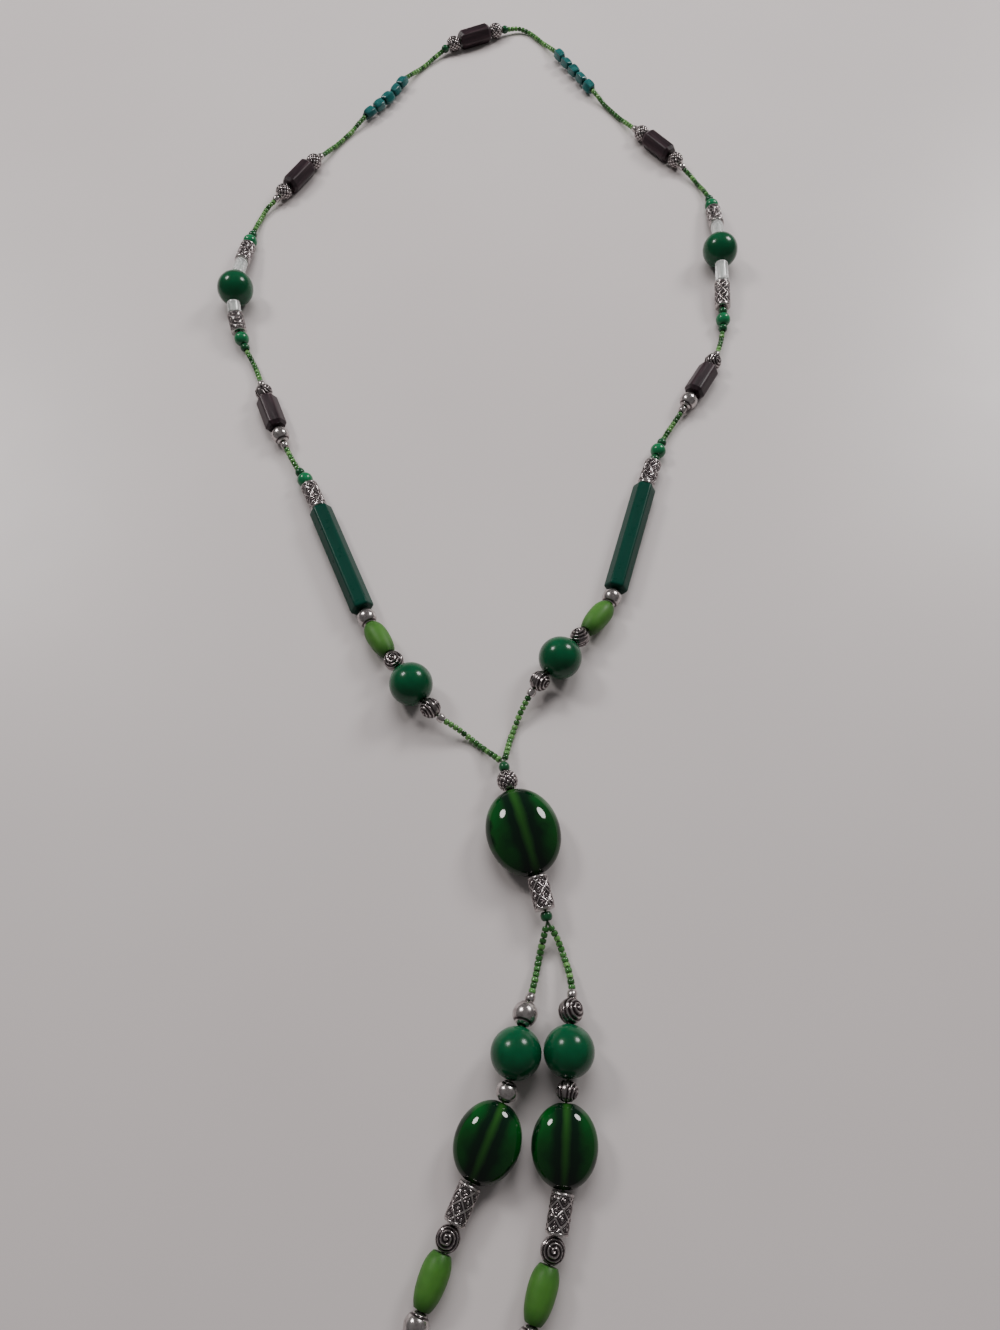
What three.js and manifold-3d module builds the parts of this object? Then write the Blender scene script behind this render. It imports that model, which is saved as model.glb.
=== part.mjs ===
// Long slip-on necklace of glass, wood and silver-coloured beads, lying flat.
// A loop of beads closes at a junction below the throat. An oval pendant bead
// hangs from the junction, and two short beaded tassels hang from the pendant.
// Millimetres, +Z up, +Y towards the back of the neck, tassels towards -Y.
import * as THREE from 'three';
import { mergeVertices } from 'three/addons/utils/BufferGeometryUtils.js';
import Module from 'manifold-3d';

const wasm = await Module();
wasm.setup();

// ---- Driving dimensions ----------------------------------------------------
const GAP = 0.4;             // free space between two beads on the thread
const THREAD_RADIUS = 0.42;
const THREAD_TIP = 0.34;     // radius where a piece of thread enters the next solid
const OVERLAP = 0.1;         // depth that joined solids reach into each other
const REACH = GAP / 2 + OVERLAP; // past the joint between two joined beads
const HOLE_RADIUS = 0.85;    // string hole through every bead
const SEED_RADIUS = 1.0;     // run of small seed beads, drawn as one tube
const SEED_SIDES = 8;
const SEED_STEP = 4.8;       // length of one step of a seed run
const SEED_HEIGHT = 1.08;    // thread height where a seed run lies on the table
const DRAPE = 10;            // length in which a seed run comes down to the table
const ROUTE_STEPS = 24;      // samples in each stretch between two route points

// Every kind of bead: its outline, its size along and across the thread, and
// its sides. Six sides make a bead that lies on one of its flats.
const BEADS = {
  silver_ball:  { outline: 'round',  length: 5.7,  width: 6.0,  sides: 8,  finish: 'silver' },
  rose_ball:    { outline: 'round',  length: 6.2,  width: 6.5,  sides: 8,  finish: 'silver' },
  silver_small: { outline: 'bicone', length: 2.0,  width: 2.7,  sides: 6,  finish: 'silver' },
  silver_tube:  { outline: 'tube',   length: 10.6, width: 5.6,  sides: 8,  finish: 'silver' },
  silver_short: { outline: 'tube',   length: 7.6,  width: 5.6,  sides: 8,  finish: 'silver' },
  tassel_tube:  { outline: 'tube',   length: 9.2,  width: 5.6,  sides: 8,  finish: 'silver' },
  green_seed:   { outline: 'bicone', length: 2.0,  width: 2.7,  sides: 6,  finish: 'seed' },
  dark_seed:    { outline: 'bicone', length: 2.4,  width: 3.2,  sides: 6,  finish: 'seed' },
  medium_round: { outline: 'bicone', length: 4.6,  width: 5.2,  sides: 7,  finish: 'seed' },
  nugget:       { outline: 'barrel', length: 5.4,  width: 5.0,  sides: 5,  finish: 'seed' },
  clear_tube:   { outline: 'tube',   length: 8.0,  width: 4.7,  sides: 8,  finish: 'clear' },
  clear_short:  { outline: 'tube',   length: 4.4,  width: 4.7,  sides: 8,  finish: 'clear' },
  big_ball:     { outline: 'round',  length: 12.7, width: 12.8, sides: 12, finish: 'green' },
  barrel:       { outline: 'barrel', length: 13.6, width: 7.7,  sides: 6,  finish: 'wood' },
  long_tube:    { outline: 'tube',   length: 40.2, width: 7.7,  sides: 6,  finish: 'teal' },
  lime_drop:    { outline: 'drop',   length: 12.0, width: 6.9,  sides: 10, finish: 'lime' },
  tassel_oval:  { outline: 'round',  length: 18.8, width: 16.2, sides: 14, finish: 'green' },
  pendant_oval: { outline: 'round',  length: 24.6, width: 20.4, sides: 16, finish: 'green' },
  oval_spacer:  { outline: 'round',  length: 4.8,  width: 5.6,  sides: 8,  finish: 'silver' },
};
// Puffed beads are thinner than they are wide, and lie on their broad side.
const THICKNESS = { tassel_oval: 9.2, pendant_oval: 11.2 };

const FINISHES = {
  silver: { color: 0x8f8b8a, roughness: 0.35, metalness: 0.9 },
  seed:   { color: 0x3f6b2f, roughness: 0.4,  metalness: 0.0 },
  clear:  { color: 0xc9cfca, roughness: 0.2,  metalness: 0.0 },
  green:  { color: 0x06381f, roughness: 0.1,  metalness: 0.0 },
  wood:   { color: 0x33222b, roughness: 0.5,  metalness: 0.0 },
  teal:   { color: 0x0c3a33, roughness: 0.3,  metalness: 0.0 },
  lime:   { color: 0x55923a, roughness: 0.5,  metalness: 0.0 },
};

// Heights of the thread where a large bead rests on the table.
const BARREL_REST = (BEADS.barrel.width / 2) * Math.cos(Math.PI / 6);
const LONG_REST = (BEADS.long_tube.width / 2) * Math.cos(Math.PI / 6);
const BALL_REST = BEADS.big_ball.width / 2;
const OVAL_REST = THICKNESS.tassel_oval / 2;
const PENDANT_REST = THICKNESS.pendant_oval / 2;

// ---- Bead order ------------------------------------------------------------
// One row for each bead, in thread order. height: thread height where the bead
// ends. node: the bead is a piece of its own; every other bead is joined into
// the strand that it is part of. A row of seeds has its length on each side.
const NECK_SIDE = [
  { kind: 'silver_ball', height: 2.8 },
  { kind: 'dark_seed', height: 2.1 },
  { kind: 'seeds', left: 24.5, right: 29.5, height: 2.7 },
  { kind: 'nugget', height: 2.7 },
  { kind: 'nugget', height: 2.7 },
  { kind: 'nugget', height: 2.7 },
  { kind: 'nugget', height: 2.7 },
  { kind: 'nugget', height: 2.7 },
  { kind: 'seeds', left: 28, right: 28, height: 2.3 },
  { kind: 'silver_small', height: 2.8 },
  { kind: 'silver_ball', height: BARREL_REST },
  { kind: 'barrel', node: 'barrel_1', height: BARREL_REST },
  { kind: 'silver_ball', height: 2.8 },
  { kind: 'silver_small', height: 2.3 },
  { kind: 'seeds', left: 18.6, right: 18, height: 2.2 },
  { kind: 'dark_seed', height: 2.5 },
  { kind: 'medium_round', height: 2.9 },
  { kind: 'silver_tube', node: 'silver_tube_1', height: 4.9 },
  { kind: 'clear_tube', node: 'clear_tube_1', height: BALL_REST },
  { kind: 'big_ball', node: 'big_ball_1', height: BALL_REST },
  { kind: 'clear_tube', node: 'clear_tube_2', side: 'right', height: 4.9 },
  { kind: 'clear_short', node: 'clear_tube_2', side: 'left', height: 5.2 },
  { kind: 'silver_tube', node: 'silver_tube_2', side: 'right', height: 3.0 },
  { kind: 'silver_short', node: 'silver_tube_2', side: 'left', height: 3.4 },
  { kind: 'dark_seed', side: 'right', height: 2.8 },
  { kind: 'medium_round', height: 2.6 },
  { kind: 'dark_seed', height: 2.1 },
  { kind: 'seeds', left: 16, right: 10.5, height: 2.3 },
  { kind: 'silver_small', height: 2.8 },
  { kind: 'silver_ball', height: BARREL_REST },
  { kind: 'barrel', node: 'barrel_2', height: BARREL_REST },
  { kind: 'silver_ball', height: 2.8 },
  { kind: 'silver_small', height: 2.3 },
  { kind: 'seeds', left: 10, right: 13.5, height: 2.2 },
  { kind: 'dark_seed', height: 2.5 },
  { kind: 'medium_round', height: 2.9 },
  { kind: 'dark_seed', side: 'right', height: 2.9 },
  { kind: 'silver_tube', node: 'silver_tube_3', height: LONG_REST },
  { kind: 'long_tube', node: 'long_tube', height: LONG_REST },
  { kind: 'silver_ball', node: 'upper_ball', height: 3.5 },
  { kind: 'lime_drop', node: 'lime_drop', height: 5.0 },
  { kind: 'silver_ball', node: 'lower_ball', height: BALL_REST },
  { kind: 'big_ball', node: 'big_ball_2', height: BALL_REST },
  { kind: 'silver_ball', height: 5.2 },
  { kind: 'silver_small', height: 4.6 },
];
const JUNCTION_HEIGHT = 4.2;
const PENDANT_ROW = [
  { kind: 'dark_seed', height: 4.7 },
  { kind: 'silver_ball', node: 'pendant_ball', height: PENDANT_REST },
  { kind: 'pendant_oval', node: 'pendant_oval', height: PENDANT_REST },
  { kind: 'tassel_tube', node: 'pendant_tube', height: 4.7 },
  { kind: 'dark_seed', height: 4.2 },
];
const TASSEL = [
  { kind: 'seeds', left: 18.8, right: 18.6, height: 3.4 },
  { kind: 'silver_small', height: 4.2 },
  { kind: 'rose_ball', height: 6.2 },
  { kind: 'big_ball', node: 'big_ball', height: BALL_REST },
  { kind: 'oval_spacer', node: 'upper_ball', height: 5.3 },
  { kind: 'tassel_oval', node: 'oval', height: OVAL_REST },
  { kind: 'tassel_tube', node: 'silver_tube', height: 4.0 },
  { kind: 'silver_ball', node: 'lower_ball', height: 3.8 },
  { kind: 'lime_drop', node: 'lime_drop', height: 3.4 },
  { kind: 'silver_ball', node: 'end_ball', height: 3.1 },
  { kind: 'green_seed', height: 3.0 },
];

// ---- Where the thread lies, seen from above --------------------------------
const BACK_CENTRE = [-3, 232.5];
const BACK_ANGLE = THREE.MathUtils.degToRad(26);
const JUNCTION = [9.1, -100.4];
const ROUTE = {
  left: [
    [-17, 224], [-30, 208], [-38, 193], [-50, 177], [-65, 154.5], [-75, 137.5],
    [-83, 126], [-86.5, 108], [-88, 84], [-87, 70], [-83, 58], [-77.5, 47],
    [-70.2, 27], [-62, 9], [-52.5, -7], [-50, -13.5], [-33, -52.5], [-23, -69.5],
    [-12, -84.5], [-1, -91.5], JUNCTION,
  ],
  right: [
    [17, 240.5], [26, 232], [34, 219], [45, 200], [57, 182], [66, 169],
    [77, 155], [87, 140], [90, 125], [89.5, 101], [89, 82], [87.5, 63],
    [82, 48], [73, 32.5], [63.5, 17], [57.5, 2], [55.3, -4.5], [43, -45],
    [31, -62], [18, -77.5], [12, -89], JUNCTION,
  ],
};
const PENDANT_ROUTE = [
  JUNCTION, [9.3, -103.2], [10.9, -109.2], [18, -133.4], [20.2, -143], [21, -149],
];
const TASSEL_ROUTE = {
  left: [
    [18.5, -153], [16.5, -162], [14.2, -168.5], [11.9, -177.2], [10, -186],
    [5.6, -196], [1.6, -205.5], [-3.5, -216.5], [-10, -232.5], [-16, -249],
  ],
  right: [
    [24, -151], [26.6, -161], [25.8, -168], [25.2, -176.8], [24.6, -186],
    [23, -197], [23.2, -206], [21, -218], [16, -233], [11, -249],
  ],
};

// ---- Routes and chains -----------------------------------------------------

/** A smooth line through plan points, as close samples. */
function planLine(points) {
  const corners = points.map(([x, y]) => new THREE.Vector3(x, y, 0));
  const curve = new THREE.CatmullRomCurve3(corners, false, 'catmullrom', 0.5);
  return curve.getPoints(ROUTE_STEPS * (points.length - 1));
}

/** Moves along a plan line from one point until it is a given distance away. */
function advance(line, place, distance) {
  for (let i = place.index + 1; i < line.length; i += 1) {
    const far = line[i].distanceTo(place.point);
    if (far < distance) continue;
    const near = i === place.index + 1 ? 0 : line[i - 1].distanceTo(place.point);
    const from = i === place.index + 1 ? place.point : line[i - 1];
    const share = (distance - near) / (far - near);
    return { index: i - 1, point: from.clone().lerp(line[i], share) };
  }
  return { index: line.length - 1, point: line[line.length - 1].clone() };
}

/** Share of a strand's end height that is left at a distance from that end. */
function drape(distance) {
  const t = Math.min(Math.max(distance / DRAPE, 0), 1);
  return (1 - t) * (1 - t) * (1 + 2 * t);
}

/** The points of a run of seeds, which sags from its ends to the table. */
function seedRun(line, place, length, startHeight, endHeight) {
  const steps = Math.max(2, Math.round(length / SEED_STEP));
  const points = [];
  let here = place;
  for (let i = 0; i <= steps; i += 1) {
    const along = (length * i) / steps;
    if (i > 0) here = advance(line, here, length / steps);
    const rise = (startHeight - SEED_HEIGHT) * drape(along)
      + (endHeight - SEED_HEIGHT) * drape(length - along);
    points.push(new THREE.Vector3(here.point.x, here.point.y, SEED_HEIGHT + rise));
  }
  const [beforeLast, last] = points.slice(-2);
  last.add(last.clone().sub(beforeLast).setLength(REACH));
  return { points, here };
}

/** Lays rows of beads along a plan line. Each link knows its two thread ends. */
function chain(rows, line, startHeight, side) {
  const links = [];
  let here = { index: 0, point: line[0] };
  let height = startHeight;
  for (const row of rows) {
    if (row.side && row.side !== side) continue;
    const from = new THREE.Vector3(here.point.x, here.point.y, height);
    if (row.kind === 'seeds') {
      const run = seedRun(line, here, row[side], height, row.height);
      links.push({ row, points: run.points });
      here = run.here;
    } else {
      const reach = BEADS[row.kind].length + GAP;
      const drop = row.height - height;
      here = advance(line, here, Math.sqrt(reach * reach - drop * drop));
      const to = new THREE.Vector3(here.point.x, here.point.y, row.height);
      links.push({ row, points: [from, to] });
    }
    height = row.height;
  }
  return { links, here, height };
}

/** The seeds from the last bead of a neck side to the junction. */
function lastRun(line, end) {
  let length = line[end.here.index + 1].distanceTo(end.here.point);
  for (let i = end.here.index + 1; i < line.length - 1; i += 1) {
    length += line[i].distanceTo(line[i + 1]);
  }
  return seedRun(line, end.here, length * 0.999, end.height, JUNCTION_HEIGHT).points;
}

// ---- Solids ----------------------------------------------------------------

/** Outline of a bead as [along, radius], from one end to the other. */
function beadOutline({ outline, length, width }, endRadius) {
  const half = length / 2;
  const radius = width / 2;
  if (outline === 'tube') {
    const bevel = radius * 0.18;
    return [
      [-half, radius - bevel], [-half + bevel, radius],
      [half - bevel, radius], [half, radius - bevel],
    ];
  }
  if (outline === 'barrel') {
    return [
      [-half, radius * 0.78], [-half * 0.86, radius], [half * 0.86, radius],
      [half, radius * 0.78],
    ];
  }
  if (outline === 'drop') {
    return [
      [-half, radius * 0.5], [-half * 0.72, radius * 0.86], [-half * 0.28, radius],
      [half * 0.22, radius * 0.92], [half * 0.64, radius * 0.68], [half, radius * 0.4],
    ];
  }
  if (outline === 'bicone') {
    return [
      [-half, radius * 0.55], [-half * 0.55, radius * 0.95], [half * 0.55, radius * 0.95],
      [half, radius * 0.55],
    ];
  }
  // A ball or an oval: equal steps along the arc between its two end faces.
  const steps = width > 10 ? 6 : 5;
  const first = Math.asin(endRadius / radius);
  const points = [];
  for (let i = 0; i <= steps; i += 1) {
    const angle = first + ((Math.PI - 2 * first) * i) / steps;
    points.push([(-half * Math.cos(angle)) / Math.cos(first), radius * Math.sin(angle)]);
  }
  return points;
}

/** A bead about its own Y axis: a piece of its own with its string hole, or a
 *  joined bead with a stub of thread that reaches into the next one. */
function beadGeometry(kind, ownPiece) {
  const bead = BEADS[kind];
  const flatness = (THICKNESS[kind] ?? bead.width) / bead.width;
  const outline = beadOutline(bead, (HOLE_RADIUS + 0.15) / flatness);
  const half = bead.length / 2;
  const tip = half + GAP / 2 + REACH;
  const profile = ownPiece
    ? [[-half, HOLE_RADIUS], ...outline, [half, HOLE_RADIUS], [-half, HOLE_RADIUS]]
    : [[-half, 0], ...outline, [half, THREAD_TIP], [tip, THREAD_TIP], [tip, 0]];
  const points = profile.map(([along, radius]) => new THREE.Vector2(radius, along));
  const geometry = new THREE.LatheGeometry(points, bead.sides, Math.PI / bead.sides);
  const corners = geometry.attributes.position;
  for (let i = 0; i < corners.count; i += 1) {
    const outside = Math.hypot(corners.getX(i), corners.getZ(i)) > HOLE_RADIUS + 0.01;
    if (outside) corners.setZ(i, corners.getZ(i) * flatness);
  }
  return geometry;
}

/** Turns +Y along the thread and keeps the bead's first flat facing up. */
function threadFrame(from, to) {
  const along = to.clone().sub(from).normalize();
  const side = new THREE.Vector3().crossVectors(along, new THREE.Vector3(0, 0, 1)).normalize();
  const up = new THREE.Vector3().crossVectors(side, along);
  const middle = from.clone().add(to).multiplyScalar(0.5);
  return new THREE.Matrix4().makeBasis(side, along, up).setPosition(middle);
}

/** A closed three.js geometry as a manifold solid. */
function toSolid(geometry) {
  const bare = geometry.clone();
  bare.deleteAttribute('normal');
  bare.deleteAttribute('uv');
  const merged = mergeVertices(bare, 1e-4);
  return new wasm.Manifold(new wasm.Mesh({
    numProp: 3,
    vertProperties: new Float32Array(merged.attributes.position.array),
    triVerts: new Uint32Array(merged.index.array),
  }));
}

/** A manifold solid as a three.js geometry. */
function toGeometry(solid) {
  const mesh = solid.getMesh();
  const geometry = new THREE.BufferGeometry();
  geometry.setAttribute('position', new THREE.BufferAttribute(mesh.vertProperties, 3));
  geometry.setIndex(new THREE.BufferAttribute(mesh.triVerts, 1));
  geometry.computeVertexNormals();
  return geometry;
}

/** Straight piece of thread between two points. */
function threadSolid(from, to) {
  const length = from.distanceTo(to) + 2 * REACH;
  const rod = new THREE.CylinderGeometry(THREAD_TIP, THREAD_RADIUS, length, 6);
  return toSolid(rod.applyMatrix4(threadFrame(from, to)));
}

/** Run of seed beads as one tube along its points. */
function seedSolid(points) {
  const corners = [];
  for (let i = 0; i < SEED_SIDES; i += 1) {
    const angle = (2 * Math.PI * (i + 0.5)) / SEED_SIDES;
    corners.push(new THREE.Vector2(Math.cos(angle), Math.sin(angle)).multiplyScalar(SEED_RADIUS));
  }
  return toSolid(new THREE.ExtrudeGeometry(new THREE.Shape(corners), {
    steps: points.length - 1,
    extrudePath: new THREE.CatmullRomCurve3(points),
  }));
}

/** The solid of a joined bead or of a seed run. */
function linkSolid({ row, points }) {
  if (row.kind === 'seeds') return seedSolid(points);
  const bead = beadGeometry(row.kind, false);
  return toSolid(bead.applyMatrix4(threadFrame(points[0], points[1])));
}

/** Thread through links that have pieces of their own. */
function throughThread(links) {
  return links.map(({ points }) => threadSolid(points[0], points[1]));
}

// ---- Assembly --------------------------------------------------------------
const necklace = new THREE.Group();

function finishOf(name) {
  return new THREE.MeshStandardMaterial(FINISHES[name]);
}

function addBead(name, kind, from, to) {
  const mesh = new THREE.Mesh(beadGeometry(kind, true), finishOf(BEADS[kind].finish));
  mesh.name = name;
  mesh.applyMatrix4(threadFrame(from, to));
  necklace.add(mesh);
}

function addStrand(name, solids) {
  const joined = solids.reduce((sum, solid) => sum.add(solid));
  const mesh = new THREE.Mesh(toGeometry(joined), finishOf('seed'));
  mesh.name = name;
  necklace.add(mesh);
}

/** Half of one link, from its middle to one end, clear of the other half. */
function halfLink({ row, points: [from, to] }, end) {
  const clear = (GAP / 2 + REACH) / from.distanceTo(to);
  if (end === 'start') return { row, points: [from, from.clone().lerp(to, 0.5 - clear)] };
  return { row, points: [from.clone().lerp(to, 0.5 + clear), to] };
}

/** Splits a chain into stretches of joined beads and stretches of own pieces. */
function stretches(links) {
  const found = [];
  for (const link of links) {
    const own = Boolean(link.row.node);
    const last = found[found.length - 1];
    if (last && last.own === own) last.links.push(link);
    else found.push({ own, links: [link] });
  }
  return found;
}

/** The thread inside own pieces, as far as the middle piece of the stretch. */
function reachInto(stretch, end) {
  if (!stretch) return [];
  const middle = Math.floor(stretch.links.length / 2);
  const half = halfLink(stretch.links[middle], end);
  if (end === 'start') return throughThread([...stretch.links.slice(0, middle), half]);
  return throughThread([half, ...stretch.links.slice(middle + 1)]);
}

/** Makes the beads and strands of one chain; returns its last strand's solids. */
function buildChain(links, prefix, firstSolids) {
  const parts = stretches(links);
  let strand = 0;
  let open = [];
  parts.forEach((part, i) => {
    if (part.own) {
      for (const { row, points } of part.links) {
        addBead(`${prefix}${row.node}`, row.kind, points[0], points[1]);
      }
      return;
    }
    const before = i > 0 ? reachInto(parts[i - 1], 'end') : firstSolids;
    const after = reachInto(parts[i + 1], 'start');
    const solids = [...before, ...part.links.map(linkSolid), ...after];
    strand += 1;
    if (i < parts.length - 1) addStrand(`${prefix}strand_${strand}`, solids);
    else open = solids;
  });
  return open;
}

// Back bead of the neck, and the link of thread through it.
const backHalf = new THREE.Vector2(Math.cos(BACK_ANGLE), Math.sin(BACK_ANGLE))
  .multiplyScalar((BEADS.barrel.length + GAP) / 2);
const backLink = {
  row: { kind: 'barrel' },
  points: [-1, 1].map((way) => new THREE.Vector3(
    BACK_CENTRE[0] + way * backHalf.x, BACK_CENTRE[1] + way * backHalf.y, BARREL_REST)),
};
addBead('back_barrel', 'barrel', backLink.points[0], backLink.points[1]);

// Two sides of the neck loop. Their last strands meet in the yoke.
const yoke = [];
for (const side of ['left', 'right']) {
  const start = backLink.points[side === 'left' ? 0 : 1];
  const line = planLine([[start.x, start.y], ...ROUTE[side]]);
  const run = chain(NECK_SIDE, line, BARREL_REST, side);
  const backThread = threadSolid(...halfLink(backLink, side === 'left' ? 'start' : 'end').points);
  yoke.push(...buildChain(run.links, `${side}_`, [backThread]));
  yoke.push(seedSolid(lastRun(line, run)));
}

// Pendant below the junction.
const pendantRun = chain(PENDANT_ROW, planLine(PENDANT_ROUTE), JUNCTION_HEIGHT, 'left');
const [yokeLinks, pendantLinks, splitLinks] = stretches(pendantRun.links);
yoke.push(...yokeLinks.links.map(linkSolid), ...reachInto(pendantLinks, 'start'));
addStrand('yoke_strand', yoke);
for (const { row, points } of pendantLinks.links) addBead(row.node, row.kind, ...points);

// Two tassels that leave the same bead. Their threads run through to the ends.
const tassels = [...reachInto(pendantLinks, 'end'), ...splitLinks.links.map(linkSolid)];
for (const side of ['left', 'right']) {
  const start = pendantRun.here.point;
  const line = planLine([[start.x, start.y], ...TASSEL_ROUTE[side]]);
  const { links } = chain(TASSEL, line, pendantRun.height, side);
  for (const link of links) {
    if (!link.row.node) {
      tassels.push(linkSolid(link));
      continue;
    }
    addBead(`${side}_tassel_${link.row.node}`, link.row.kind, ...link.points);
    tassels.push(...throughThread([link]));
  }
}
addStrand('tassel_strand', tassels);

// The origin is at the bottom centre of the whole necklace.
const box = new THREE.Box3().setFromObject(necklace);
const centre = box.getCenter(new THREE.Vector3());
necklace.position.set(-centre.x, -centre.y, -box.min.z);

export default necklace;
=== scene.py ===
"""Look of a long beaded necklace with a pendant and two tassels, lying on a table.

The beads stand where the CAD's beads are: the same order, sizes and routes, but
with rounded glass, relief in the metal and every small seed bead modelled.
"""

import math
import random

import bmesh
import bpy
import numpy as np
from mathutils import Matrix, Vector


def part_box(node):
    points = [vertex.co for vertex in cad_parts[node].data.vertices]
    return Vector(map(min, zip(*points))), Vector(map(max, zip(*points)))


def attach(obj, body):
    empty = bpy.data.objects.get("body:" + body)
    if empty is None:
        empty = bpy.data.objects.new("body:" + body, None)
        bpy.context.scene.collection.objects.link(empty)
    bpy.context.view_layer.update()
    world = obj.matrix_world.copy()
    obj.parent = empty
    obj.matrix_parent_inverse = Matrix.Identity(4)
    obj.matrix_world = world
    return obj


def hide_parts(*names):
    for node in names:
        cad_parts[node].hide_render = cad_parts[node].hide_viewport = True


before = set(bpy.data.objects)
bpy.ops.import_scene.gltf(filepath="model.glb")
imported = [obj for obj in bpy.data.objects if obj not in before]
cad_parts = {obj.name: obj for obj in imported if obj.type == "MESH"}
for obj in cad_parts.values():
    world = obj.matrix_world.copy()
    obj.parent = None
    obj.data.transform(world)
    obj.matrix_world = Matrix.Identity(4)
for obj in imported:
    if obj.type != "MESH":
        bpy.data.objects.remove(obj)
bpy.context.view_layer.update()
rng = random.Random(7)
MM = 0.001

# ---- Dimensions, in millimetres ---------------------------------------------
GAP = 0.4             # between neighbouring beads
HOLE = 0.85           # radius of a bead's string hole
THREAD = 0.33         # radius of the thread
THREAD_SIDES = 10
SEED_WIDTH = 2.0
SEED_HOLE = 0.42
SEED_SIDES = 14
SEED_PITCH = 1.55     # aimed at, from one seed to the next
SEED_STEP = 4.8       # between the points that shape a run of seeds
SEED_HEIGHT = 1.08    # of a run's middle line where it lies on the table
SEED_FLOOR = 1.03     # the lowest that the middle line may dip
SEED_TRIM = 1.3       # left free where two runs meet
DRAPE = 10.0          # length over which a run comes down to the table
ROUTE_STEPS = 24

BEADS = {  # length, width
    "silver_ball": (5.7, 6.0),
    "rose_ball": (6.2, 6.5),
    "silver_small": (2.0, 2.7),
    "silver_tube": (10.6, 5.6),
    "silver_short": (7.6, 5.6),
    "tassel_tube": (9.2, 5.6),
    "green_seed": (2.0, 2.7),
    "dark_seed": (2.4, 3.2),
    "medium_round": (4.6, 5.2),
    "nugget": (5.4, 5.0),
    "clear_tube": (8.0, 4.7),
    "clear_short": (4.4, 4.7),
    "big_ball": (12.7, 12.8),
    "barrel": (13.6, 7.7),
    "long_tube": (40.2, 7.7),
    "lime_drop": (12.0, 6.9),
    "tassel_oval": (18.8, 16.2),
    "pendant_oval": (24.6, 20.4),
    "oval_spacer": (4.8, 5.6),
}
SILVER_BALLS = ("silver_ball", "rose_ball", "oval_spacer")
SILVER_TUBES = ("silver_tube", "silver_short", "tassel_tube")
CLEAR_TUBES = ("clear_tube", "clear_short")
THICKNESS = {"tassel_oval": 9.2, "pendant_oval": 11.2}

# Heights at which the middle line of a large bead lies when the bead rests on the table.
HEX_REST = 3.85 * math.cos(math.pi / 6)
BALL_REST = 6.4
OVAL_REST = 4.6
PENDANT_REST = 5.6

# Rows of beads: kind, node (None: joined into a strand), height at the far end,
# the only side that has it or a seed run's (left, right) length, style of the relief.
NECK_SIDE = [
    ("silver_ball", None, 2.8, None, "filigree"),
    ("dark_seed", None, 2.1, None, None),
    ("seeds", None, 2.7, (24.5, 29.5), None),
    *[("nugget", None, 2.7, None, None)] * 5,
    ("seeds", None, 2.3, (28.0, 28.0), None),
    ("silver_small", None, 2.8, None, None),
    ("silver_ball", None, HEX_REST, None, "filigree"),
    ("barrel", "barrel_1", HEX_REST, None, None),
    ("silver_ball", None, 2.8, None, "filigree"),
    ("silver_small", None, 2.3, None, None),
    ("seeds", None, 2.2, (18.6, 18.0), None),
    ("dark_seed", None, 2.5, None, None),
    ("medium_round", None, 2.9, None, None),
    ("silver_tube", "silver_tube_1", 4.9, None, None),
    ("clear_tube", "clear_tube_1", BALL_REST, None, None),
    ("big_ball", "big_ball_1", BALL_REST, None, None),
    ("clear_tube", "clear_tube_2", 4.9, "right", None),
    ("clear_short", "clear_tube_2", 5.2, "left", None),
    ("silver_tube", "silver_tube_2", 3.0, "right", None),
    ("silver_short", "silver_tube_2", 3.4, "left", None),
    ("dark_seed", None, 2.8, "right", None),
    ("medium_round", None, 2.6, None, None),
    ("dark_seed", None, 2.1, None, None),
    ("seeds", None, 2.3, (16.0, 10.5), None),
    ("silver_small", None, 2.8, None, None),
    ("silver_ball", None, HEX_REST, None, "rose"),
    ("barrel", "barrel_2", HEX_REST, None, None),
    ("silver_ball", None, 2.8, None, "plain"),
    ("silver_small", None, 2.3, None, None),
    ("seeds", None, 2.2, (10.0, 13.5), None),
    ("dark_seed", None, 2.5, None, None),
    ("medium_round", None, 2.9, None, None),
    ("dark_seed", None, 2.9, "right", None),
    ("silver_tube", "silver_tube_3", HEX_REST, None, None),
    ("long_tube", "long_tube", HEX_REST, None, None),
    ("silver_ball", "upper_ball", 3.5, None, "plain"),
    ("lime_drop", "lime_drop", 5.0, None, None),
    ("silver_ball", "lower_ball", BALL_REST, None, "rose"),
    ("big_ball", "big_ball_2", BALL_REST, None, None),
    ("silver_ball", None, 5.2, None, "rose"),
    ("silver_small", None, 4.6, None, None),
]
JUNCTION_HEIGHT = 4.2
PENDANT_ROW = [
    ("dark_seed", None, 4.7, None, None),
    ("silver_ball", "pendant_ball", PENDANT_REST, None, "filigree"),
    ("pendant_oval", "pendant_oval", PENDANT_REST, None, None),
    ("tassel_tube", "pendant_tube", 4.7, None, None),
    ("dark_seed", None, 4.2, None, None),
]
TASSEL = [
    ("seeds", None, 3.4, (18.8, 18.6), None),
    ("silver_small", None, 4.2, None, None),
    ("rose_ball", None, 6.2, None, "rose"),
    ("big_ball", "big_ball", BALL_REST, None, None),
    ("oval_spacer", "upper_ball", 5.3, None, "rose"),
    ("tassel_oval", "oval", OVAL_REST, None, None),
    ("tassel_tube", "silver_tube", 4.0, None, None),
    ("silver_ball", "lower_ball", 3.8, None, "rose"),
    ("lime_drop", "lime_drop", 3.4, None, None),
    ("silver_ball", "end_ball", 3.1, None, "plain"),
    ("green_seed", None, 3.0, None, None),
]

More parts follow.
